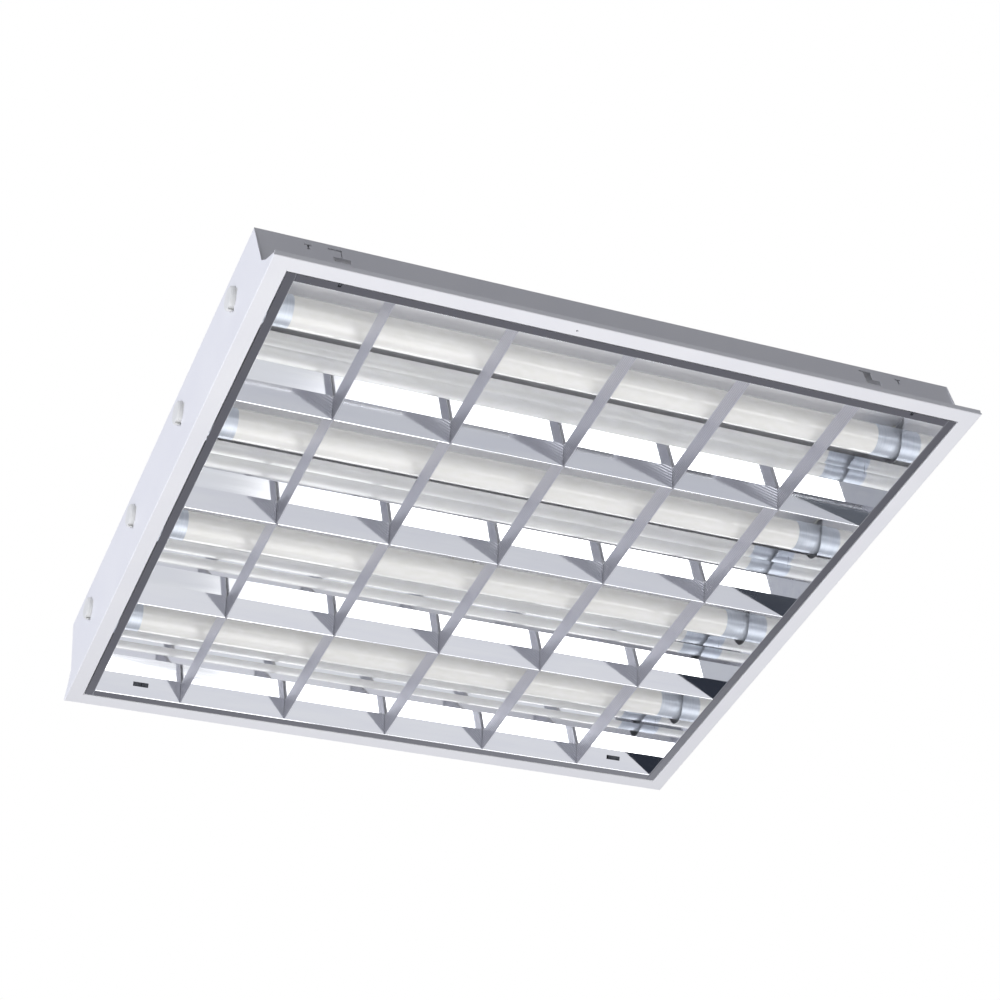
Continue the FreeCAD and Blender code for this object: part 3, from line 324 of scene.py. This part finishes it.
# ---------------------------------------------------------------- lampholders
# Eight rotary holders, two for each lamp, snapped through windows in the end plates. Holder and
# rotor are moulded from the same white polycarbonate, and the rotor turns with the lamp's pins.
lamp_numbers = (1, 2, 3, 4)
for number in lamp_numbers:
    finish_nodes(moulding, "lampholder_%d_left" % number, "lampholder_%d_right" % number,
                 "lamp_%d_rotors" % number)

# ---------------------------------------------------------------- louvre
# Two side reflectors, two end reflectors and three dividers form the mirror cells. They are folded
# from 0.5 mm mirror sheet, the dividers with parabolic flanks, and their tabs join them to a frame.

# Anodised mirror aluminium: polished and anodised clear, a nearly sharp mirror without a tint. The
# rolled sheet blurs it slightly, in streaks about 90 mm long and 6 mm wide.
mirror, tree, shader = new_material("anodised_mirror_aluminium")
shader.inputs["Metallic"].default_value = 1.0
two_tone(tree, shader, grain(tree, along=80, across=10), "f9fafb", "f5f6f9")
uneven_gloss(tree, shader, grain(tree, along=90, across=6), smooth=0.045, rough=0.075,
             relief=0.012)
finish_nodes(mirror, "side_reflector_near", "side_reflector_far", "end_reflector_left",
             "end_reflector_right", "divider_near", "divider_middle", "divider_far")

# ---------------------------------------------------------------- cross blades
# Five blades let through slots in the dividers, their ends seated in the side reflectors: 0.4 mm
# aluminium strip, rolled with fine ribs along its length and folded into a narrow V.
blade_numbers = (1, 2, 3, 4, 5)
blade_pitch = 0.0985
rib_pitch = 0.0011

# Ribbed aluminium: outside it is bright, with fine lighter and darker lines 1.1 mm apart that are
# painted light and shade of its rolled ribs. Its lacquer and ribs soften it, so it is drawn less
# than fully metallic. The inner faces of the V keep the pale matt mill finish.
outside_metallic = 0.8
inside_metallic = 0.0
ribbed, tree, shader = new_material("ribbed_aluminium")
place = add_node(tree, "ShaderNodeTexCoord").outputs

# A Wave texture's bands stand 2 pi / 20 apart at scale 1.
bands_at_scale_1 = 20 / (2 * np.pi)
rolled_ribs = add_node(tree, "ShaderNodeTexWave", {
    "Vector": place["Object"], "Scale": 1 / (bands_at_scale_1 * rib_pitch),
}, bands_direction="Z")
# The ribs' light and shade, painted into the colour as darker and lighter lines in turn.
rib_light_and_shade = add_node(tree, "ShaderNodeMix", {
    mix_share: rolled_ribs.outputs["Fac"], mix_first: rgb("c4c4ce"), mix_second: rgb("f4f4fa"),
}, data_type="RGBA")

# An inner face looks at the middle plane of its blade: its normal's X and its distance from that
# plane differ in sign. Wrapped at the pitch of the blades, X is that distance for all five.
spot = add_node(tree, "ShaderNodeSeparateXYZ", {"Vector": place["Object"]})
normal = add_node(tree, "ShaderNodeSeparateXYZ", {"Vector": place["Normal"]})
from_middle = add_node(tree, "ShaderNodeMath", {
    0: spot.outputs["X"], 1: blade_pitch / 2, 2: -blade_pitch / 2,
}, operation="WRAP")
outward = add_node(tree, "ShaderNodeMath", {
    0: from_middle.outputs[0], 1: normal.outputs["X"],
}, operation="MULTIPLY")
inside = add_node(tree, "ShaderNodeMath", {0: outward.outputs[0], 1: 0.0}, operation="LESS_THAN")
faces = add_node(tree, "ShaderNodeMix", {
    mix_share: inside.outputs[0], mix_first: rib_light_and_shade.outputs[mix_result], mix_second: rgb("f8f8fa"),
}, data_type="RGBA")
polish = add_node(tree, "ShaderNodeMapRange", {
    "Value": inside.outputs[0], "To Min": outside_metallic, "To Max": inside_metallic,
})
tree.links.new(faces.outputs[mix_result], shader.inputs["Base Color"])
tree.links.new(polish.outputs["Result"], shader.inputs["Metallic"])
uneven_gloss(tree, shader, grain(tree, along=0.8, across=0.8), smooth=0.30, rough=0.38,
             relief=0.002)
finish_nodes(ribbed, *["cross_blade_%d" % number for number in blade_numbers])

# ---------------------------------------------------------------- lamps
# Four straight tubes, 26 mm thick and 590 mm long: glass with a phosphor coat inside, and at each
# end an aluminium cap with two brass pins, cemented on. The holders' rotors grip them by the pins.

# Phosphor coated glass: creamy white when off, glossy, with a sharp white streak where it mirrors
# a light. The coat is a little cloudy, in patches about 12 mm long and 5 mm wide.
glass, tree, shader = new_material("phosphor_coated_glass")
two_tone(tree, shader, grain(tree, along=12, across=5), "f9f8f4", "f5f4ee")
uneven_gloss(tree, shader, grain(tree, along=40, across=12), smooth=0.11, rough=0.17,
             relief=0.004)

# Drawn aluminium: pale bluish grey with a soft band of light, and fine rings that are drawn at
# 0.5 mm, coarser than real, so that they show. The pale bluish tone is partly the metal's own and
# partly painted reflection of the bright cells around it, so the cap is drawn less than half
# metallic.
drawn, tree, shader = new_material("drawn_aluminium")
shader.inputs["Metallic"].default_value = 0.4
# Pale bluish grey: the metal's own tone, with painted reflection of the bright cells.
two_tone(tree, shader, grain(tree, along=0.8, across=30), "d8dde5", "ced5de")
uneven_gloss(tree, shader, grain(tree, along=0.5, across=40), smooth=0.38, rough=0.46,
             relief=0.002)

# Turned brass: warm yellow metal with tool rings, drawn at 0.3 mm, coarser than real.
brass, tree, shader = new_material("turned_brass")
shader.inputs["Metallic"].default_value = 1.0
two_tone(tree, shader, grain(tree, along=0.4, across=10), "dcbc6e", "cfae60")
uneven_gloss(tree, shader, grain(tree, along=0.3, across=10), smooth=0.25, rough=0.35,
             relief=0.002)

for number in lamp_numbers:
    finish_nodes(glass, "lamp_%d_tube" % number)
    finish_nodes(drawn, "lamp_%d_caps" % number)
    finish_nodes(brass, "lamp_%d_pins" % number)

# ---------------------------------------------------------------- floor
# The plain pale floor of the room, far below the light and the viewpoint. Only the camera sees it:
# the mirrors show the studio's room in its place, and it lights nothing.
floor_width = 12
floor_height = -2.4
bpy.ops.mesh.primitive_plane_add(size=floor_width, location=(0, 0, floor_height))
floor = bpy.context.object
floor.name = "room_floor"
floor.visible_glossy = False
floor.visible_diffuse = False

# Pale floor paint: matt and nearly white, with a tone that drifts over 900 mm. A glow for the
# camera alone brings it up to the white of the studio.
floor_glow = 0.55
paint, tree, shader = new_material("pale_floor")
two_tone(tree, shader, grain(tree, along=900, across=900), "f2f2f2", "efeff0")
shader.inputs["Roughness"].default_value = 0.8
shader.inputs["Emission Color"].default_value = rgb("f6f6f7")
ray = add_node(tree, "ShaderNodeLightPath").outputs
glow = add_node(tree, "ShaderNodeMath", {0: ray["Is Camera Ray"], 1: floor_glow},
                operation="MULTIPLY")
tree.links.new(glow.outputs[0], shader.inputs["Emission Strength"])
floor.data.materials.append(paint)
